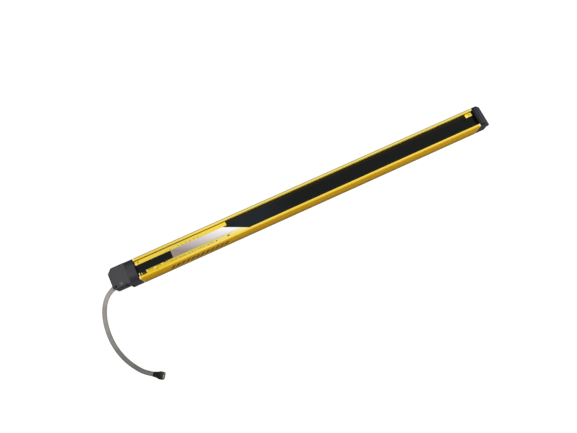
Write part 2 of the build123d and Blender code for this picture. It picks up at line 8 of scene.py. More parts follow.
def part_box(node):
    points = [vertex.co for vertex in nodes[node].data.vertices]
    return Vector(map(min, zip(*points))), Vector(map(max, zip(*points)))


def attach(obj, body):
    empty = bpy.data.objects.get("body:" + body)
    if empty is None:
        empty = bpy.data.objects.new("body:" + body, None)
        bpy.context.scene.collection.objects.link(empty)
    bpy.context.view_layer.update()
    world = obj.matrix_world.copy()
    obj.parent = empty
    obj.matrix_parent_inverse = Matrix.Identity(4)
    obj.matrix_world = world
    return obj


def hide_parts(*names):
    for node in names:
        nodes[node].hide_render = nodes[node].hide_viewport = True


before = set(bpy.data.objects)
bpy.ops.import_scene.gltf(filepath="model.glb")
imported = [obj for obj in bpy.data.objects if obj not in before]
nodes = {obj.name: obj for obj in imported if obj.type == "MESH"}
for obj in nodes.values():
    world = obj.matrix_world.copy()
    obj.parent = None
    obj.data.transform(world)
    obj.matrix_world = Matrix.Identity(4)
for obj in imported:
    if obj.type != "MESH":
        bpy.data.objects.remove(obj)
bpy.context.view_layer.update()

mm = 0.001
print("frame loaded,", len(nodes), "nodes")


def linear(red, green, blue):
    # colours are written as they should look, 0 to 255
    shares = [value / 255 for value in (red, green, blue)]
    return [s / 12.92 if s <= 0.04045 else ((s + 0.055) / 1.055) ** 2.4 for s in shares] + [1.0]


# Camera: stands over the cable end's near side and looks down along the bar
camera = {
    "place": (-0.1235, -0.2061, 0.7707),
    "yaw": 25.08,
    "elevation": 74.52,
    "lens": 35.314,
    "sensor": 36,
    "clip": (0.01, 50),
}


def addCamera():
    yaw, tilt = math.radians(camera["yaw"]), math.radians(camera["elevation"])
    right = Vector((math.cos(yaw), -math.sin(yaw), 0))
    forward = Vector((math.sin(yaw) * math.cos(tilt), math.cos(yaw) * math.cos(tilt), -math.sin(tilt)))
    up = right.cross(forward)
    turn = Matrix((right, up, -forward)).transposed().to_4x4()
    bpy.ops.object.camera_add()
    lookingDown = bpy.context.object
    lookingDown.name = "photoCamera"
    lookingDown.matrix_world = Matrix.Translation(camera["place"]) @ turn
    lookingDown.data.lens = camera["lens"]
    lookingDown.data.sensor_width = camera["sensor"]
    lookingDown.data.sensor_fit = "HORIZONTAL"
    lookingDown.data.clip_start, lookingDown.data.clip_end = camera["clip"]
    bpy.context.scene.camera = lookingDown


addCamera()
print("camera placed")

# Cable: control points of one NURBS line, in mm, from the grommet's tip to the plug
cableSizes = {
    "points": [
        (-288.254, -9.749, 20.3),
        (-295.67, -12.75, 20.3),
        (-303.9, -19.5, 17.0),
        (-310.45, -27.35, 11.5),
        (-315.45, -36.8, 6.0),
        (-318.25, -48.2, 3.0),
        (-318.9, -61.2, 3.0),
        (-317.8, -74.9, 3.0),
        (-314.5, -88.9, 3.0),
        (-309.0, -102.8, 3.0),
        (-301.2, -115.5, 3.0),
        (-292.482, -126.051, 5.3),
        (-282.9, -132.76, 5.3),
    ],
    "diameter": 6.0,
    "length": 150.0,
    "order": 3,
    "stepsAlong": 12,
    "stepsAround": 8,
}


def addCable():
    line = bpy.data.curves.new("cableSheath", "CURVE")
    line.dimensions = "3D"
    line.resolution_u = cableSizes["stepsAlong"]
    line.bevel_depth = cableSizes["diameter"] / 2 * mm
    line.bevel_resolution = cableSizes["stepsAround"]
    line.use_fill_caps = True
    spline = line.splines.new("NURBS")
    spline.points.add(len(cableSizes["points"]) - 1)
    for point, place in zip(spline.points, cableSizes["points"]):
        point.co = (*(value * mm for value in place), 1.0)
    spline.order_u = cableSizes["order"]
    spline.use_endpoint_u = True
    sheath = bpy.data.objects.new("cableSheath", line)
    bpy.context.scene.collection.objects.link(sheath)
    return sheath


cableSheath = addCable()
print("cable laid")


def newMaterial(name):
    material = bpy.data.materials.new(name)
    material.use_nodes = True
    material.node_tree.nodes.clear()
    return material, material.node_tree


def addNode(tree, kind, **settings):
    node = tree.nodes.new(kind)
    for key, value in settings.items():
        if key in node.inputs:
            node.inputs[key].default_value = value
        else:
            setattr(node, key, value)
    return node


def mathOf(tree, operation, *values):
    # values are sockets or numbers
    node = addNode(tree, "ShaderNodeMath", operation=operation)
    for place, value in enumerate(values):
        if isinstance(value, (int, float)):
            node.inputs[place].default_value = value
        else:
            tree.links.new(value, node.inputs[place])
    return node.outputs["Value"]


def mixedTone(tree, share, first, second):
    # first and second are sockets or written colours, share is a socket
    mix = addNode(tree, "ShaderNodeMix", data_type="RGBA")
    tree.links.new(share, mix.inputs[0])
    for place, tone in ((6, first), (7, second)):
        if isinstance(tone, tuple):
            mix.inputs[place].default_value = linear(*tone)
        else:
            tree.links.new(tone, mix.inputs[place])
    return mix.outputs[2]


def newGroup(name, inputs, outputs):
    group = bpy.data.node_groups.new(name, "ShaderNodeTree")
    for label, kind, value in inputs:
        socket = group.interface.new_socket(label, in_out="INPUT", socket_type=kind)
        socket.default_value = value
    for label, kind in outputs:
        group.interface.new_socket(label, in_out="OUTPUT", socket_type=kind)
    return group, group.nodes.new("NodeGroupInput"), group.nodes.new("NodeGroupOutput")


def makeGrainGroup():
    # fine spark-eroded or moulded grain with a slow mottle of the colour
    group, given, out = newGroup(
        "mouldedGrain",
        [
            ("Vector", "NodeSocketVector", (0, 0, 0)),
            ("Color", "NodeSocketColor", (0.1, 0.1, 0.1, 1)),
            ("Mottle Color", "NodeSocketColor", (0.15, 0.15, 0.15, 1)),
            ("Grain Scale", "NodeSocketFloat", 1500.0),
            ("Mottle Scale", "NodeSocketFloat", 60.0),
            ("Roughness", "NodeSocketFloat", 0.5),
            ("Roughness Range", "NodeSocketFloat", 0.1),
        ],
        [("Color", "NodeSocketColor"), ("Roughness", "NodeSocketFloat"), ("Height", "NodeSocketFloat")],
    )
    link = group.links.new
    grain = addNode(group, "ShaderNodeTexNoise", Detail=2.0, Roughness=0.6)
    link(given.outputs["Vector"], grain.inputs["Vector"])
    link(given.outputs["Grain Scale"], grain.inputs["Scale"])
    mottle = addNode(group, "ShaderNodeTexNoise", Detail=4.0, Roughness=0.55)
    link(given.outputs["Vector"], mottle.inputs["Vector"])
    link(given.outputs["Mottle Scale"], mottle.inputs["Scale"])
    spread = addNode(group, "ShaderNodeMapRange", **{"From Min": 0.35, "From Max": 0.65})
    link(mottle.outputs["Fac"], spread.inputs["Value"])
    color = mixedTone(group, spread.outputs["Result"], given.outputs["Color"], given.outputs["Mottle Color"])
    roughness = mathOf(
        group, "MULTIPLY_ADD", grain.outputs["Fac"], given.outputs["Roughness Range"], given.outputs["Roughness"]
    )
    link(color, out.inputs["Color"])
    link(roughness, out.inputs["Roughness"])
    link(grain.outputs["Fac"], out.inputs["Height"])
    return group


def makeDrawnGroup():
    # fine lines along one way, as an extrusion die, a lathe or a brush leaves
    group, given, out = newGroup(
        "drawnLines",
        [
            ("Vector", "NodeSocketVector", (0, 0, 0)),
            ("Color", "NodeSocketColor", (0.5, 0.5, 0.5, 1)),
            ("Line Color", "NodeSocketColor", (0.4, 0.4, 0.4, 1)),
            ("Stretch", "NodeSocketVector", (10, 900, 900)),
            ("Roughness", "NodeSocketFloat", 0.4),
            ("Roughness Range", "NodeSocketFloat", 0.1),
        ],
        [("Color", "NodeSocketColor"), ("Roughness", "NodeSocketFloat"), ("Height", "NodeSocketFloat")],
    )
    link = group.links.new
    stretched = addNode(group, "ShaderNodeVectorMath", operation="MULTIPLY")
    link(given.outputs["Vector"], stretched.inputs[0])
    link(given.outputs["Stretch"], stretched.inputs[1])
    lines = addNode(group, "ShaderNodeTexNoise", Scale=1.0, Detail=3.0, Roughness=0.65)
    link(stretched.outputs[0], lines.inputs["Vector"])
    spread = addNode(group, "ShaderNodeMapRange", **{"From Min": 0.3, "From Max": 0.7})
    link(lines.outputs["Fac"], spread.inputs["Value"])
    color = mixedTone(group, spread.outputs["Result"], given.outputs["Color"], given.outputs["Line Color"])
    roughness = mathOf(
        group, "MULTIPLY_ADD", spread.outputs["Result"], given.outputs["Roughness Range"], given.outputs["Roughness"]
    )
    link(color, out.inputs["Color"])
    link(roughness, out.inputs["Roughness"])
    link(lines.outputs["Fac"], out.inputs["Height"])
    return group


def makeDustGroup():
    # sparse pale specks and thin scuffs over another colour
    group, given, out = newGroup(
        "dustAndScuffs",
        [
            ("Vector", "NodeSocketVector", (0, 0, 0)),
            ("Color", "NodeSocketColor", (0.1, 0.1, 0.1, 1)),
            ("Dust Color", "NodeSocketColor", (0.5, 0.5, 0.5, 1)),
            ("Amount", "NodeSocketFloat", 0.3),
            ("Speck Scale", "NodeSocketFloat", 500.0),
        ],
        [("Color", "NodeSocketColor")],
    )
    link = group.links.new
    specks = addNode(group, "ShaderNodeTexNoise", Detail=3.0, Roughness=0.7)
    link(given.outputs["Vector"], specks.inputs["Vector"])
    link(given.outputs["Speck Scale"], specks.inputs["Scale"])
    sparse = addNode(group, "ShaderNodeMapRange", **{"From Min": 0.62, "From Max": 0.78})
    link(specks.outputs["Fac"], sparse.inputs["Value"])
    share = mathOf(group, "MULTIPLY", sparse.outputs["Result"], given.outputs["Amount"])
    link(mixedTone(group, share, given.outputs["Color"], given.outputs["Dust Color"]), out.inputs["Color"])
    return group


mouldedGrain = makeGrainGroup()
drawnLines = makeDrawnGroup()
dustAndScuffs = makeDustGroup()


def placeGroup(tree, group, vector, **settings):
    node = tree.nodes.new("ShaderNodeGroup")
    node.node_tree = group
    tree.links.new(vector, node.inputs["Vector"])
    for key, value in settings.items():
        node.inputs[key.replace("_", " ")].default_value = value
    return node


def finishShader(tree, color, made, bump, strength, **sockets):
    # made is a placed group that gives Roughness and Height; bump is in mm
    shader = tree.nodes.new("ShaderNodeBsdfPrincipled")
    for key, value in sockets.items():
        shader.inputs[key].default_value = value
    tree.links.new(color, shader.inputs["Base Color"])
    tree.links.new(made.outputs["Roughness"], shader.inputs["Roughness"])
    relief = addNode(tree, "ShaderNodeBump", Strength=strength, Distance=bump * mm)
    tree.links.new(made.outputs["Height"], relief.inputs["Height"])
    tree.links.new(relief.outputs["Normal"], shader.inputs["Normal"])
    out = tree.nodes.new("ShaderNodeOutputMaterial")
    tree.links.new(shader.outputs["BSDF"], out.inputs["Surface"])


def objectPlace(tree):
    # object coordinates, whole and as X, Y and Z
    place = tree.nodes.new("ShaderNodeTexCoord").outputs["Object"]
    apart = tree.nodes.new("ShaderNodeSeparateXYZ")
    tree.links.new(place, apart.inputs[0])
    return place, apart.outputs


def shareAlong(tree, value, start, end, most=1.0):
    # from 0 at the start to the most at the end, both in mm
    span = addNode(tree, "ShaderNodeMapRange", **{"From Min": start * mm, "From Max": end * mm, "To Max": most})
    tree.links.new(value, span.inputs["Value"])
    return span.outputs["Result"]


def rampAlong(tree, value, start, end, stops):
    # stops are (share, colour) between two places in mm
    ramp = tree.nodes.new("ShaderNodeValToRGB")
    while len(ramp.color_ramp.elements) < len(stops):
        ramp.color_ramp.elements.new(0.5)
    for element, (share, color) in zip(ramp.color_ramp.elements, stops):
        element.position = share
        element.color = linear(*color)
    tree.links.new(shareAlong(tree, value, start, end), ramp.inputs["Fac"])
    return ramp.outputs["Color"]


paleDust = (150, 150, 150)


def grainMaterial(name, color, mottle, rough, grain=1500.0, mottleScale=60.0, roughRange=0.12,
                  bump=0.02, strength=0.3, dust=0.0, beyond=(), **sockets):
    # beyond lists (axis, start, end, colour): other colours past places in mm
    material, tree = newMaterial(name)
    place, axes = objectPlace(tree)
    made = placeGroup(
        tree, mouldedGrain, place,
        Color=linear(*color), Mottle_Color=linear(*mottle), Grain_Scale=grain, Mottle_Scale=mottleScale,
        Roughness=rough, Roughness_Range=roughRange,
    )
    surface = made.outputs["Color"]
    for axis, start, end, otherColor in beyond:
        surface = mixedTone(tree, shareAlong(tree, axes[axis], start, end), surface, otherColor)
    if dust:
        dusted = placeGroup(tree, dustAndScuffs, place, Dust_Color=linear(*paleDust), Amount=dust)
        tree.links.new(surface, dusted.inputs["Color"])
        surface = dusted.outputs["Color"]
    finishShader(tree, surface, made, bump=bump, strength=strength, **sockets)
    return material


def metalMaterial(name, color, lineColor, stretch, rough):
    material, tree = newMaterial(name)
    made = placeGroup(
        tree, drawnLines, objectPlace(tree)[0],
        Color=linear(*color), Line_Color=linear(*lineColor), Stretch=stretch,
        Roughness=rough, Roughness_Range=0.1,
    )
    finishShader(tree, made.outputs["Color"], made, bump=0.01, strength=0.3, Metallic=1.0)
    return material


dull = {"Specular IOR Level": 0.03}

paint = {
    "side": (236, 176, 0),
    "back": (152, 126, 28),       # painted shade: darker towards the back edge
    "wall": (255, 226, 44),       # inside of the front channel, made lighter as painted light
    "wallFootShade": (150, 118, 8),    # painted shade at its foot beside the labels
    # front faces along the bar, paler than the side as painted sheen: full yellow at the cable end, palest beside the
    # labels
    "frontNearSheen": [(0.06, (236, 200, 44)), (0.2, (248, 226, 102)), (0.45, (240, 213, 90))],
    "frontFarSheen": [(0.06, (234, 209, 96)), (0.2, (244, 226, 124)), (0.4, (230, 217, 124))],
    # nearEdge and farEdge: painted shade along the front faces' rounded outer edges
    "nearEdge": (214, 164, 10),
    "farEdge": (140, 122, 46),
    # cutFront and cutSide: pale cut ends, a painted highlight
    "cutFront": (255, 238, 158),
    "cutSide": (222, 194, 104),
    "dust": (206, 160, 30),
}
paintPlaces = {
    # where one tone gives way to the next: from, to in mm and, if not all of it, the most of the new tone
    "farFace": (-6, 6),
    "nearEdge": (-13.3, -14.2, 0.85),
    "farEdge": (13.3, 14.2, 0.95),
    "back": (19, 5, 0.9),
    "footAlong": (-112, -96),
    "footHeight": (27.3, 25.9),
    "wall": (12.6, 12.1),
    "front": (28.9, 29.5, 0.9),
    "cutFront": (27.5, 29),
    "cut": (-2.0, -1.5, 0.95),    # counted from the profile's ends, where the pale painted highlight sits
}


def paintedMaterial():
    # satin yellow paint on an extrusion: die lines along X; painted sheen on the front faces, painted shade on their
    # outer edges, towards the back and at the channel wall's foot, a channel wall painted lighter, and painted
    # highlights at the cut ends
    material, tree = newMaterial("profileYellow")
    place, axes = objectPlace(tree)
    low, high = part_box("housing_profile")

    def blend(value, where, first, second):
        return mixedTone(tree, shareAlong(tree, value, *paintPlaces[where]), first, second)

    # painted sheen: the front faces are paler than the side
    nearFace = rampAlong(tree, axes["X"], low[0] / mm, high[0] / mm, paint["frontNearSheen"])
    farFace = rampAlong(tree, axes["X"], low[0] / mm, high[0] / mm, paint["frontFarSheen"])
    faces = blend(axes["Y"], "farFace", nearFace, farFace)
    # painted shade along the rounded outer edges of the front faces
    edgeShaded = blend(axes["Y"], "nearEdge", faces, paint["nearEdge"])
    front = blend(axes["Y"], "farEdge", edgeShaded, paint["farEdge"])
    # painted shade: the side grows darker towards the back
    outside = blend(axes["Z"], "back", paint["side"], paint["back"])
    # the channel wall is painted lighter, with painted shade at its foot beside the labels
    foot = blend(axes["X"], "footAlong", paint["wallFootShade"], paint["wall"])
    wall = blend(axes["Z"], "footHeight", paint["wall"], foot)
    flank = blend(mathOf(tree, "ABSOLUTE", axes["Y"]), "wall", outside, wall)
    tone = blend(axes["Z"], "front", flank, front)
    # painted highlight: paler cut ends
    middle, half = (low[0] + high[0]) / 2, (high[0] - low[0]) / 2
    away = mathOf(tree, "ABSOLUTE", mathOf(tree, "SUBTRACT", axes["X"], middle))
    cutFrom, cutTo, most = paintPlaces["cut"]
    atEnd = shareAlong(tree, away, half / mm + cutFrom, half / mm + cutTo, most)
    cutHighlighted = mixedTone(tree, atEnd, tone, blend(axes["Z"], "cutFront", paint["cutSide"], paint["cutFront"]))
    made = placeGroup(tree, drawnLines, place, Stretch=(6, 700, 700), Roughness=0.55, Roughness_Range=0.12)
    worn = placeGroup(
        tree, dustAndScuffs, place, Dust_Color=linear(*paint["dust"]), Amount=0.22, Speck_Scale=160.0
    )
    tree.links.new(cutHighlighted, worn.inputs["Color"])
    finishShader(tree, worn.outputs["Color"], made, bump=0.004, strength=0.2, **dull)
    return material


# painted shade: the sheath darkens from the block towards the plug
cableTones = {
    "atBlock": (170, 165, 160),
    "atPlug": (119, 118, 113),
    "fade": (-20, -112),               # from and to in mm along Y
    "mottle": (0.8, 0.79, 0.78, 1),    # what the mottle keeps of the colour
}


def cableMaterial():
    # matt sheath that is greyer and darker towards the plug as painted shade
    material, tree = newMaterial("cableGrey")
    place, axes = objectPlace(tree)
    share = shareAlong(tree, axes["Y"], *cableTones["fade"])
    tone = mixedTone(tree, share, cableTones["atBlock"], cableTones["atPlug"])
    made = placeGroup(
        tree, mouldedGrain, place, Grain_Scale=900.0, Mottle_Scale=45.0, Roughness=0.5, Roughness_Range=0.1,
    )
    shade = addNode(tree, "ShaderNodeMix", data_type="RGBA", blend_type="MULTIPLY")
    shade.inputs[0].default_value = 1.0
    shade.inputs[7].default_value = cableTones["mottle"]
    tree.links.new(tone, shade.inputs[6])
    tree.links.new(tone, made.inputs["Color"])
    tree.links.new(shade.outputs[2], made.inputs["Mottle Color"])
    finishShader(tree, made.outputs["Color"], made, bump=0.03, strength=0.3, **dull)
    return material


cableGrey = cableMaterial()
profileYellow = paintedMaterial()
windowBlack = grainMaterial(
    "windowBlack", (13, 16, 15), (17, 20, 20), grain=90.0, mottleScale=22.0,
    rough=0.10, roughRange=0.10, bump=0.002, strength=0.15, dust=0.05,
    # beyond: a bluish patch and brownish borders beside the yellow walls, painted reflections
    beyond=[
        ("X", -120, -104, (24, 31, 37)), ("X", -72, -20, (13, 16, 15)),
        ("Y", 6.5, 11.6, (46, 32, 4)), ("Y", -7.0, -11.6, (44, 32, 2)),
    ],
    **{"Specular IOR Level": 0.1},
)
sealRubber = grainMaterial("sealRubber", (18, 17, 15), (26, 24, 22), rough=0.62, bump=0.01, **dull)
# capBlack is darker towards its sides and below its top face: painted shade
capBlack = grainMaterial(
    "capBlack", (61, 60, 65), (69, 68, 73), rough=0.55, bump=0.03, dust=0.14,
    beyond=[("Y", 6, 12, (44, 42, 47)), ("Y", -5, -11, (48, 44, 51)), ("Z", 29.2, 28.6, (44, 44, 50))], **dull,
)
farCapBlack = grainMaterial("farCapBlack", (34, 34, 40), (42, 42, 47), rough=0.55, bump=0.03, dust=0.14, **dull)
# blockGrey is darker below its top face: painted shade
blockGrey = grainMaterial(
    "blockGrey", (69, 69, 71), (75, 75, 77), rough=0.56, bump=0.03, dust=0.12,
    beyond=[("Z", 29.2, 28.6, (50, 50, 52))], **dull,
)
footBlack = grainMaterial(
    "footBlack", (18, 18, 19), (26, 26, 28), grain=1100.0, rough=0.5, bump=0.04, dust=0.1, **dull,
)
screwSteel = metalMaterial("screwSteel", (176, 176, 178), (150, 150, 153), (2500, 300, 300), rough=0.28)
screwDark = metalMaterial("screwDark", (92, 92, 95), (70, 70, 73), (300, 300, 2500), rough=0.4)
plugBlack = grainMaterial(
    "plugBlack", (30, 29, 27), (40, 38, 35), rough=0.55, bump=0.03,
    beyond=[("X", -275.5, -272.5, (58, 55, 50))], **dull,
)
plugMetal = metalMaterial("plugMetal", (150, 148, 142), (110, 108, 104), (900, 900, 900), rough=0.34)
insertBlack = grainMaterial("insertBlack", (20, 20, 21), (28, 28, 29), rough=0.42, **dull)
pinGold = metalMaterial("pinGold", (228, 190, 106), (206, 166, 82), (1500, 1500, 1500), rough=0.2)
boardGreen = grainMaterial("boardGreen", (18, 92, 48), (26, 112, 60), grain=600.0, mottleScale=350.0, rough=0.35)
diodeClear = grainMaterial("diodeClear", (150, 152, 160), (170, 172, 180), rough=0.12)
baffleBlack = grainMaterial("baffleBlack", (20, 20, 21), (26, 26, 27), rough=0.7)
lensClear = grainMaterial("lensClear", (96, 30, 28), (110, 38, 34), rough=0.08, roughRange=0.04)
chipBlack = grainMaterial("chipBlack", (36, 36, 37), (44, 44, 45), rough=0.5)
headerWhite = grainMaterial("headerWhite", (214, 208, 190), (222, 217, 200), rough=0.45)
leadsGrey = grainMaterial("leadsGrey", (120, 118, 115), (104, 102, 100), rough=0.5)
lampAmber = grainMaterial(
    "lampAmber", (84, 50, 14), (108, 78, 20), grain=600.0, mottleScale=700.0, rough=0.2, roughRange=0.06, **dull,
)
frameCream = grainMaterial("frameCream", (255, 240, 184), (250, 228, 150), mottleScale=400.0, rough=0.45, **dull)
markBrown = grainMaterial("markBrown", (92, 70, 4), (120, 92, 10), mottleScale=300.0, rough=0.5, **dull)
tickBrown = grainMaterial("tickBrown", (120, 84, 0), (150, 108, 6), mottleScale=300.0, rough=0.5, **dull)
edgeBlack = grainMaterial("edgeBlack", (34, 34, 35), (42, 42, 43), mottleScale=200.0, rough=0.6, **dull)
labelLemon = grainMaterial(
    "labelLemon", (255, 240, 92), (248, 226, 66), mottleScale=300.0, rough=0.42,
    beyond=[("Y", 8.9, 9.7, (240, 200, 8))], **dull,
)
# ribGrey: light grey of the far cap's ribs, a painted highlight
ribGrey = grainMaterial("ribGrey", (97, 95, 101), (76, 75, 81), mottleScale=200.0, rough=0.5, **dull)
holeBlack = grainMaterial("holeBlack", (12, 12, 12), (18, 18, 18), rough=0.7, **dull)


def fadeMaterial(name, stops, rough, start, end, slant=0.0, inner=None, **sockets):
    # printed film whose colour fades along the bar as painted sheen; slant leans the fade, in mm along for each mm
    # across
    # inner is painted shade along an inner edge, with its tone and where it comes in, across and along the bar
    material, tree = newMaterial(name)
    place, axes = objectPlace(tree)
    film = rampAlong(tree, mathOf(tree, "MULTIPLY_ADD", axes["Y"], slant, axes["X"]), start, end, stops)
    if inner:
        across = shareAlong(tree, axes["Y"], *inner["across"])
        along = shareAlong(tree, axes["X"], *inner["along"])
        film = mixedTone(tree, mathOf(tree, "MULTIPLY", across, along), film, inner["tone"])
    made = placeGroup(tree, mouldedGrain, place, Grain_Scale=700.0, Roughness=rough, Roughness_Range=0.08)
    tree.links.new(film, made.inputs["Color"])
    tree.links.new(film, made.inputs["Mottle Color"])
    finishShader(tree, made.outputs["Color"], made, bump=0.003, strength=0.2, **sockets)
    return material


# the silver foil's grey to white fade is a painted reflection
labelSilver = fadeMaterial(
    "labelSilver",
    [(0.1, (144, 133, 128)), (0.46, (206, 197, 200)), (0.8, (244, 242, 248))],
    rough=0.3, start=-200.0, end=-95.0, slant=2.0, **{"Specular IOR Level": 0.15},
)
# the lower strip pales towards the silver label as painted sheen; inner adds painted shade along its inner edge
labelLowerSheen = fadeMaterial(
    "labelLowerSheen",
    [(0.0, (226, 196, 34)), (0.55, (234, 218, 108)), (1.0, (250, 240, 172))],
    rough=0.42, start=-238.1, end=-90.0,
    inner={"tone": (116, 104, 62), "across": (-9.0, -5.6, 0.36), "along": (-105, -135)}, **dull,
)
# the upper strip's paler middle is painted sheen
labelUpper = fadeMaterial(
    "labelUpper",
    [(0.0, (238, 204, 66)), (0.5, (219, 203, 86)), (1.0, (242, 212, 66))],
    rough=0.42, start=-250.0, end=-118.0, **dull,
)

finishes = {
    "housing_profile": profileYellow,
    "front_window": windowBlack,
    "window_seal_left": sealRubber,
    "window_seal_right": sealRubber,
    "upper_label_strip": labelUpper,
    "lower_label_strip": labelLowerSheen,
    "silver_label": labelSilver,
    "far_end_label": labelLemon,
    "status_lamps": lampAmber,
    "main_board": boardGreen,
    "emitter_diodes": diodeClear,
    "beam_baffle": baffleBlack,
    "lens_strip": lensClear,
    "driver_chips": chipBlack,
    "board_header": headerWhite,
    "inner_leads": leadsGrey,
    "cable_end_gasket": sealRubber,
    "far_end_gasket": sealRubber,
    "cable_end_cap": capBlack,
    "far_end_cap": farCapBlack,
    "cable_end_foot": footBlack,
    "far_end_foot": footBlack,
    "cable_end_screws": screwSteel,
    "far_end_screws": screwSteel,
    "cable_block_cover": blockGrey,
    "cable_block_base": blockGrey,
    "cable_block_screw": screwDark,
    "cable_grommet": sealRubber,
    "cable": cableGrey,
    "plug_boot": plugBlack,
    "plug_body": plugBlack,
    "plug_shell": plugMetal,
    "plug_insert": insertBlack,
    "plug_pins": pinGold,
}
for nodeName, finish in finishes.items():
    skin = nodes[nodeName].data.materials
    skin.clear()
    skin.append(finish)
print("finishes made,", len(finishes))


mergeWithin = 1e-6


def leaveEdit():
    if bpy.context.mode != "OBJECT":
        bpy.ops.object.mode_set(mode="OBJECT")
    bpy.ops.object.select_all(action="DESELECT")


def enterEdit(piece):
    leaveEdit()
    piece.select_set(True)
    bpy.context.view_layer.objects.active = piece
    bpy.ops.object.mode_set(mode="EDIT")


def pickFaces(piece, wanted):
    # selects the faces that the test wants
    bpy.ops.mesh.select_mode(type="FACE")
    bpy.ops.mesh.select_all(action="DESELECT")
    for face in bmesh.from_edit_mesh(piece.data).faces:
        if wanted(face):
            face.select_set(True)
    bmesh.update_edit_mesh(piece.data)


def applyAll(piece):
    leaveEdit()
    piece.select_set(True)
    bpy.context.view_layer.objects.active = piece
    for modifier in list(piece.modifiers):
        bpy.ops.object.modifier_apply(modifier=modifier.name)
    bpy.ops.object.transform_apply(location=True, rotation=True, scale=True)


def settle(piece, name, finish, angle):
    # normals out, place in the mesh, finish, slot and body; edges past the angle stay sharp
    enterEdit(piece)
    bpy.ops.mesh.select_all(action="SELECT")
    bpy.ops.mesh.remove_doubles(threshold=mergeWithin)
    bpy.ops.mesh.normals_make_consistent(inside=False)
    applyAll(piece)
    bpy.ops.object.shade_smooth_by_angle(angle=math.radians(angle))
    leaveEdit()
    piece.name = name
    piece.data.name = name
    piece.data.materials.clear()
    piece.data.materials.append(finish)
    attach(piece, "root")


def copyOf(piece):
    twin = piece.copy()
    twin.data = piece.data.copy()
    bpy.context.scene.collection.objects.link(twin)
    return twin


def joined(parts):
    leaveEdit()
    for part in parts:
        part.select_set(True)
    bpy.context.view_layer.objects.active = parts[0]
    bpy.ops.object.join()
    return parts[0]


def addBevel(piece, width, segments):
    # width in mm, at edges sharper than the modifier's own angle
    bevel = piece.modifiers.new("bevel", "BEVEL")
    bevel.width = width * mm
    bevel.segments = segments
    bevel.limit_method = "ANGLE"
    return bevel


def pointed(piece, start, heading):
    # lays a piece that was made along Z at a heading from +X, in degrees, and moves it to its start
    turn = math.radians(heading)
    piece.rotation_mode = "QUATERNION"
    piece.rotation_quaternion = Vector((math.cos(turn), math.sin(turn), 0)).to_track_quat("Z", "Y")
    piece.location = [value * mm for value in start]
    applyAll(piece)


def turned(rings, around):
    # a round piece along Z: a disc that is extruded and resized from ring to ring; rings are (height, radius) in mm
    leaveEdit()
    bpy.ops.mesh.primitive_circle_add(
        vertices=around, radius=rings[0][1] * mm, fill_type="NGON", location=(0, 0, rings[0][0] * mm)
    )
    piece = bpy.context.object
    applyAll(piece)
    enterEdit(piece)
    bpy.ops.mesh.select_mode(type="FACE")
    bpy.ops.mesh.select_all(action="SELECT")
    for (before, wasRadius), (height, radius) in zip(rings, rings[1:]):
        bpy.ops.mesh.extrude_region_move(TRANSFORM_OT_translate={"value": (0, 0, (height - before) * mm)})
        share = radius / wasRadius
        bpy.ops.transform.resize(value=(share, share, 1), center_override=(0, 0, height * mm))
    leaveEdit()
    return piece


def plate(low, high, bevel=0.0):
    # a thin block between two corners in mm, with rounded edges if a bevel is given
    leaveEdit()
    middle = [(a + b) / 2 * mm for a, b in zip(low, high)]
    bpy.ops.mesh.primitive_cube_add(size=1, location=middle)
    piece = bpy.context.object
    piece.scale = [(b - a) * mm for a, b in zip(low, high)]
    applyAll(piece)
    if bevel:
        addBevel(piece, bevel, 3)
        applyAll(piece)
    return piece


# Plug: one overmoulding over boot, body and shell, with grip flutes and a rounded mouth
plugSizes = {
    "start": (-284.7, -131.5, 5.3),
    "heading": -35.0,
    "rings": [
        # distance along the plug, radius; the last one is the floor of the mouth
        (1.7, 3.05), (1.9, 3.3), (2.6, 3.42), (4.2, 3.55), (6.0, 3.82), (7.6, 4.22), (9.0, 4.62), (9.5, 4.78),
        (9.7, 5.08), (10.0, 5.22), (12.6, 5.22), (13.6, 5.16), (14.8, 5.04), (15.7, 4.92), (16.2, 4.78), (16.5, 4.58),
        (16.55, 4.38), (14.6, 4.37),
    ],
    "fluteFrom": 10.0,
    "fluteTo": 12.6,
    "fluteDepth": 0.28,
    "fluteRim": 0.12,
    "fluteEach": 30,    # degrees from flute to flute, and the degrees that one takes
    "fluteWide": 15,
}


def makePlug():
    overmould = turned(plugSizes["rings"], 48)
    enterEdit(overmould)

    def inFlute(face):
        middle = face.calc_center_median()
        turn = math.degrees(math.atan2(middle.y, middle.x)) % plugSizes["fluteEach"]
        onGrip = plugSizes["fluteFrom"] < middle.z / mm < plugSizes["fluteTo"] and abs(face.normal.z) < 0.3
        return onGrip and turn < plugSizes["fluteWide"]

    pickFaces(overmould, inFlute)
    bpy.ops.mesh.inset(
        thickness=plugSizes["fluteRim"] * mm, depth=-plugSizes["fluteDepth"] * mm, use_individual=False
    )
    leaveEdit()
    pointed(overmould, plugSizes["start"], plugSizes["heading"])
    settle(overmould, "plugOvermould", plugBlack, 28)
    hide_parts("plug_boot", "plug_body")
    return overmould


plugOvermould = makePlug()
print("plug made")

# Cable sleeve: the tapered grommet with three ribs, in the cable's own grey
sleeveSizes = {
    "exit": (-286.4, -9.0, 20.3),
    "heading": 202.0,
    "rings": [
        # distance out from the block, radius
        (-1.9, 3.86), (-0.1, 3.86), (0.0, 3.5), (0.3, 3.3), (0.7, 3.34), (1.2, 3.34), (1.4, 3.18), (1.9, 3.16),
        (2.1, 3.28), (2.6, 3.28), (2.8, 3.14), (3.3, 3.12), (3.5, 3.22), (4.0, 3.22), (4.2, 3.1), (4.7, 3.1),
        (5.0, 3.05),
    ],
}


def makeSleeve():
    sleeve = turned(sleeveSizes["rings"], 40)
    pointed(sleeve, sleeveSizes["exit"], sleeveSizes["heading"])
    settle(sleeve, "cableSleeve", cableGrey, 30)
    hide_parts("cable_grommet")
    return sleeve


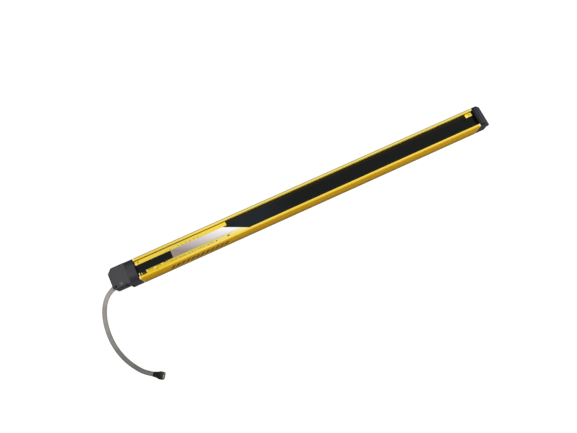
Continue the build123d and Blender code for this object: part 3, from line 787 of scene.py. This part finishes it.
cableSleeve = makeSleeve()
print("cable sleeve made")

# Lamp frame: printed bars round the four lamps, at the start of the lower strip
lampFrameSizes = {
    "bars": [
        # low corner, high corner in the plane of the window
        ((-249.8, -10.95), (-248.5, -5.6)),
        ((-246.15, -9.6), (-245.45, -6.7)),
        ((-249.7, -10.95), (-238.3, -10.2)),
        ((-238.9, -10.95), (-238.0, -5.6)),
    ],
    "bottom": 25.0,
    "top": 25.24,
    "bevel": 0.06,
}


def makeLampFrame():
    bars = [
        plate((*low, lampFrameSizes["bottom"]), (*high, lampFrameSizes["top"]), lampFrameSizes["bevel"])
        for low, high in lampFrameSizes["bars"]
    ]
    settle(joined(bars), "lampFrame", frameCream, 30)


makeLampFrame()
print("lamp frame made")

# Printed marks: slanted strokes on the side, ticks and dots on the label strips, none of them letters
markSizes = {
    "film": 0.04,
    "sunk": 0.01,         # how far a mark reaches into what carries it
    "bevel": 0.01,
    "sideFace": -15.0,
    "strokeFrom": -205.0,
    "strokeStep": 7.1,
    "strokeCount": 12,
    "strokeLow": 10.5,
    "strokeHigh": 23.0,
    "strokeWidth": 4.2,
    "strokeTurn": 27.0,
    "strokeReach": 14,    # half length before its ends are cut level
    "stripTop": 25.15,
    "tick": (0.6, 1.15),  # length and width
    "tickFrom": -206.0,
    "tickStep": 1.9,
    "tickCount": 34,
    "tickGap": 7,         # each seventh is left out
    "lowerTicks": (-9.6, 0.35),
    "upperTicks": (6.3, 0.3),    # like lowerTicks: y and the step to the next row
    "upperCount": 26,
    "upperScale": (2.6, 0.8, 1),
    "dots": [(-138.5, -8.7, 0.8, 0.75), (-120.7, -8.4, 1.9, 0.85)],   # x, y, half length, half width
    "otherTicks": [
        # x, y, length along X, share of a tick's width
        (-246.4, 8.2, 2.2, 1.2), (-225.6, -10.4, 2.2, 1.0), (-235.8, -6.8, 3.2, 0.7), (-231.4, -7.0, 1.8, 0.9),
        (-223.2, -6.6, 2.6, 0.8), (-219.8, -6.9, 1.4, 0.8), (-213.4, -6.5, 2.8, 0.9), (-209.6, -6.8, 1.6, 0.7),
        (262.0, 7.6, 2.4, 1.3),
    ],
    "creamTop": 0.03,
    "creamMarks": [
        # low corner, high corner in the plane of the window
        ((-249.8, 5.6), (-247.9, 8.6)),
        ((-228.4, -8.0), (-226.0, -6.6)),
        ((-217.6, -6.7), (-215.8, -5.7)),
        ((257.1, 5.6), (259.4, 8.0)),
        ((265.6, 6.2), (266.9, 10.2)),
    ],
}


def makeSideStrokes():
    # one long slanted bar, cut level at its two ends, then copied along the side
    half, reach, face = markSizes["strokeWidth"] / 2, markSizes["strokeReach"], markSizes["sideFace"]
    level = (markSizes["strokeLow"] + markSizes["strokeHigh"]) / 2
    stroke = plate((-half, face - markSizes["film"], -reach), (half, face + markSizes["sunk"], reach))
    stroke.rotation_euler = (0, math.radians(markSizes["strokeTurn"]), 0)
    stroke.location = (0, 0, level * mm)
    applyAll(stroke)
    enterEdit(stroke)
    for height, way in ((markSizes["strokeLow"], -1), (markSizes["strokeHigh"], 1)):
        bpy.ops.mesh.select_all(action="SELECT")
        bpy.ops.mesh.bisect(plane_co=(0, 0, height * mm), plane_no=(0, 0, way), clear_outer=True, use_fill=True)
    leaveEdit()
    strokes = [stroke]
    for count in range(1, markSizes["strokeCount"]):
        twin = copyOf(stroke)
        twin.location.x = count * markSizes["strokeStep"] * mm
        strokes.append(twin)
    for part in strokes:
        part.location.x += markSizes["strokeFrom"] * mm
        applyAll(part)
    settle(joined(strokes), "sideStrokes", markBrown, 30)


def makeTicks():
    top, (length, width) = markSizes["stripTop"], markSizes["tick"]
    tick = plate((0, 0, top - markSizes["sunk"]), (length, width, top + markSizes["film"]), markSizes["bevel"])
    (lower, lowerStep), (upper, upperStep) = markSizes["lowerTicks"], markSizes["upperTicks"]
    ticks = []

    def addTick(along, across, scale):
        twin = copyOf(tick)
        twin.location = (along * mm, across * mm, 0)
        twin.scale = scale
        ticks.append(twin)

    for count in range(markSizes["tickCount"]):
        along = markSizes["tickFrom"] + count * markSizes["tickStep"]
        if count % markSizes["tickGap"] == markSizes["tickGap"] - 1:
            continue
        # sizes and rows change a little from tick to tick
        addTick(along, lower + lowerStep * ((count * 5) % 3), (1.0 + 0.3 * (count % 3), 1.0 + 0.35 * (count % 2), 1))
        if count % 3 == 0 and count < markSizes["upperCount"]:
            addTick(along, upper + upperStep * (count % 2), markSizes["upperScale"])
    for along, across, long, wide in markSizes["otherTicks"]:
        addTick(along, across, (long / length, wide, 1))
    leaveEdit()
    bpy.data.objects.remove(tick)
    for part in ticks:
        applyAll(part)
    settle(joined(ticks), "labelTicks", tickBrown, 30)


def makeDots():
    dots, film = [], markSizes["film"]
    for along, across, long, wide in markSizes["dots"]:
        dot = turned([(0, 1.0), (film * 0.6, 1.0), (film, 0.92)], 28)    # its rim is a little rounded
        dot.scale = (long, wide, 1)
        dot.location = (along * mm, across * mm, markSizes["stripTop"] * mm)
        applyAll(dot)
        dots.append(dot)
    settle(joined(dots), "labelDots", edgeBlack, 30)


def makeCreamMarks():
    top = markSizes["stripTop"]
    marks = [
        plate((*low, top - markSizes["sunk"]), (*high, top + markSizes["creamTop"]), markSizes["bevel"])
        for low, high in markSizes["creamMarks"]
    ]
    settle(joined(marks), "creamMarks", frameCream, 30)


makeSideStrokes()
makeTicks()
makeDots()
makeCreamMarks()
print("printed marks made")

# Cable block: a latch in each side notch, and black discs in the two dimples of its front as painted shade
blockSizes = {
    "latchLow": (-270.2, 13.8, 22.15),
    "latchHigh": (-267.2, 14.92, 29.1),
    "grips": 3,
    "gripFrom": 1.2,
    "gripStep": 0.8,
    "gripRim": 0.12,
    "gripDepth": 0.25,
    "latchBevel": 0.12,
    "dimples": [(-282.4, -11.0, 1.42), (-268.9, -12.2, 0.84)],   # x, y, radius
    "dimpleLevel": 28.85,
    "dimpleRings": [
        # height, how far inside the radius, share of the radius
        (0, 0, 1), (0.35, 0, 1), (0.45, 0.12, 1), (0.45, 0, 0.62), (0.2, 0, 0.5),
    ],
    "rimLow": (-286.43, -15.03, 29.15),
    "rimHigh": (-262.62, 15.03, 30.1),
    "rimWidth": 1.0,
    "rimWall": 0.12,
    "rimBevel": 0.35,
    "rimAngle": 50,
    "corners": [(6.0, 7.6, 1), (3.0, 3.0, -1)],   # cut along X, cut along Y, side
}


def makeLatches():
    low, high = blockSizes["latchLow"], blockSizes["latchHigh"]
    latches = []
    for side in (1, -1):
        near, far = (low[1], high[1]) if side > 0 else (-high[1], -low[1])
        latch = plate((low[0], near, low[2]), (high[0], far, high[2]))
        enterEdit(latch)
        for count in range(2 * blockSizes["grips"]):
            cut = low[2] + blockSizes["gripFrom"] + count * blockSizes["gripStep"]
            bpy.ops.mesh.select_all(action="SELECT")
            bpy.ops.mesh.bisect(plane_co=(0, 0, cut * mm), plane_no=(0, 0, 1))

        def sunken(face):
            # every second band, which leaves the grip ridges
            band = (face.calc_center_median().z / mm - low[2] - blockSizes["gripFrom"]) / blockSizes["gripStep"]
            return face.normal.y * side > 0.9 and 0 < band < 2 * blockSizes["grips"] - 1 and int(band) % 2 == 0

        pickFaces(latch, sunken)
        bpy.ops.mesh.inset(
            thickness=blockSizes["gripRim"] * mm, depth=-blockSizes["gripDepth"] * mm, use_individual=True
        )
        leaveEdit()
        addBevel(latch, blockSizes["latchBevel"], 2)
        applyAll(latch)
        latches.append(latch)
    settle(joined(latches), "blockLatches", footBlack, 30)


# black discs in the dimples: painted shade for their dark inside
def makeDimpleShade():
    shadeDiscs, level = [], blockSizes["dimpleLevel"]
    for along, across, radius in blockSizes["dimples"]:
        rings = [(level + up, radius * share - inside) for up, inside, share in blockSizes["dimpleRings"]]
        disc = turned(rings, 32)
        disc.location = (along * mm, across * mm, 0)
        applyAll(disc)
        shadeDiscs.append(disc)
    settle(joined(shadeDiscs), "dimpleShade", holeBlack, 30)


def makeBlockRim():
    # the cover's rolled edge: a plate with two cut corners, opened to a frame, thickened and rounded
    low, high = blockSizes["rimLow"], blockSizes["rimHigh"]
    rim = plate(low, high)
    enterEdit(rim)
    for alongCut, acrossCut, side in blockSizes["corners"]:
        corner = Vector((low[0] * mm, side * high[1] * mm, 0))
        point = corner + Vector((alongCut * mm, 0, 0))
        bpy.ops.mesh.select_all(action="SELECT")
        bpy.ops.mesh.bisect(
            plane_co=point, plane_no=(-acrossCut, side * alongCut, 0), clear_outer=True, use_fill=True
        )
    pickFaces(rim, lambda face: face.normal.z > 0.9)
    bpy.ops.mesh.inset(thickness=blockSizes["rimWidth"] * mm)
    bpy.ops.mesh.delete(type="FACE")
    inner = (high[0] - 0.8 * blockSizes["rimWidth"]) * mm
    pickFaces(rim, lambda face: face.normal.z < -0.9 or face.calc_center_median().x > inner)
    bpy.ops.mesh.delete(type="FACE")
    leaveEdit()
    thick = rim.modifiers.new("thick", "SOLIDIFY")
    thick.thickness = blockSizes["rimWall"] * mm
    thick.offset = -1
    addBevel(rim, blockSizes["rimBevel"], 3).angle_limit = math.radians(blockSizes["rimAngle"])
    applyAll(rim)
    settle(rim, "blockRim", edgeBlack, 40)


makeLatches()
makeDimpleShade()
makeBlockRim()
print("block details made")

# Far cap: two ribs across its front, light grey as a painted highlight
farRibSizes = {
    "ribs": [(272.2, 273.0), (275.3, 276.1)],
    "halfWidth": 12.4,
    "bottom": 29.9,
    "top": 30.2,
    "bevel": 0.12,
}


def makeFarRibs():
    half = farRibSizes["halfWidth"]
    ribs = [
        plate((near, -half, farRibSizes["bottom"]), (far, half, farRibSizes["top"]), farRibSizes["bevel"])
        for near, far in farRibSizes["ribs"]
    ]
    settle(joined(ribs), "farCapRibs", ribGrey, 40)


makeFarRibs()
print("far cap ribs made")

# Foot threads: a helix in each blind hole, seen from behind
threadSizes = {
    "holes": (-261.4, 279.4),
    "core": 2.1,
    "crest": 1.94,
    "halfFoot": 0.3,    # half the height of a thread's foot
    "pitch": 0.8,
    "turns": 8,
    "stepsAround": 24,
    "start": 0.5,
}


def makeFootThreads():
    # a small triangle is turned and lifted round the hole's axis
    core, crest, foot = [threadSizes[name] * mm for name in ("core", "crest", "halfFoot")]
    leaveEdit()
    bpy.ops.mesh.primitive_circle_add(vertices=3, radius=core, fill_type="NOTHING", location=(0, 0, 0))
    thread = bpy.context.object
    for corner, (radius, height) in zip(thread.data.vertices, ((core, -foot), (crest, 0), (core, foot))):
        corner.co = (radius, 0, height)
    winding = thread.modifiers.new("winding", "SCREW")
    winding.axis = "Z"
    winding.screw_offset = threadSizes["pitch"] * mm
    winding.iterations = threadSizes["turns"]
    winding.steps = threadSizes["stepsAround"]
    winding.render_steps = threadSizes["stepsAround"]
    winding.use_merge_vertices = True
    winding.use_normal_calculate = True
    applyAll(thread)
    enterEdit(thread)
    bpy.ops.mesh.select_mode(type="EDGE")
    bpy.ops.mesh.select_all(action="DESELECT")
    bpy.ops.mesh.select_non_manifold()
    bpy.ops.mesh.edge_face_add()
    leaveEdit()
    threads = [thread, copyOf(thread)]
    for part, along in zip(threads, threadSizes["holes"]):
        part.location = (along * mm, 0, threadSizes["start"] * mm)
        applyAll(part)
    settle(joined(threads), "footThreads", screwSteel, 30)


makeFootThreads()
print("foot threads made")

cableSheath.data.materials.append(cableGrey)
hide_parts("cable")
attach(cableSheath, "root")

# Studio: a pale floor that the camera sees as white, and soft lamps
studio = {
    "floorSize": 12.0,
    "floorLevel": -0.0002,    # just under the cable
    "lamps": [
        # place, size, watts
        ((-0.1, -0.42, 2.1), 1.3, 34.0),
        ((0.95, -0.6, 0.8), 0.7, 4.0),
    ],
    "worldStrength": 0.27,
    "floorGrey": 0.25,
    "floorGlow": 0.85,
}


def whereSeen(tree):
    # 1 for what the camera sees, also in glossy or clear surfaces, 0 for light that falls on the object
    path = tree.nodes.new("ShaderNodeLightPath")
    seen = path.outputs["Is Camera Ray"]
    for kind in ("Is Glossy Ray", "Is Transmission Ray"):
        seen = mathOf(tree, "MAXIMUM", seen, path.outputs[kind])
    return seen


def addStudio():
    bpy.ops.mesh.primitive_plane_add(size=studio["floorSize"], location=(0, 0, studio["floorLevel"]))
    floor = bpy.context.object
    floor.name = "studioFloor"
    material, tree = newMaterial("floorWhite")
    # the floor bounces little light, and looks white to the camera and in glossy or clear surfaces
    shader = addNode(tree, "ShaderNodeBsdfPrincipled", Roughness=0.9)
    shader.inputs["Base Color"].default_value = (*[studio["floorGrey"]] * 3, 1)
    shader.inputs["Emission Color"].default_value = (1, 1, 1, 1)
    glow = mathOf(tree, "MULTIPLY", whereSeen(tree), studio["floorGlow"])
    tree.links.new(glow, shader.inputs["Emission Strength"])
    out = tree.nodes.new("ShaderNodeOutputMaterial")
    tree.links.new(shader.outputs["BSDF"], out.inputs["Surface"])
    floor.data.materials.append(material)
    for place, size, watts in studio["lamps"]:
        bpy.ops.object.light_add(type="AREA", location=place)
        lamp = bpy.context.object
        lamp.data.size = size
        lamp.data.energy = watts
        lamp.rotation_euler = (-Vector(place)).to_track_quat("-Z", "Y").to_euler()
    world = bpy.data.worlds.new("studioWorld")
    bpy.context.scene.world = world
    world.use_nodes = True
    sky = world.node_tree.nodes["Background"]
    sky.inputs["Color"].default_value = (1, 1, 1, 1)
    # the sky lights softly and looks as white as the floor
    strength = addNode(world.node_tree, "ShaderNodeMapRange", **{"To Min": studio["worldStrength"], "To Max": 1.0})
    world.node_tree.links.new(whereSeen(world.node_tree), strength.inputs["Value"])
    world.node_tree.links.new(strength.outputs["Result"], sky.inputs["Strength"])


addStudio()
print("studio lit")

bpy.context.scene.view_settings.view_transform = "Standard"
bpy.context.view_layer.update()
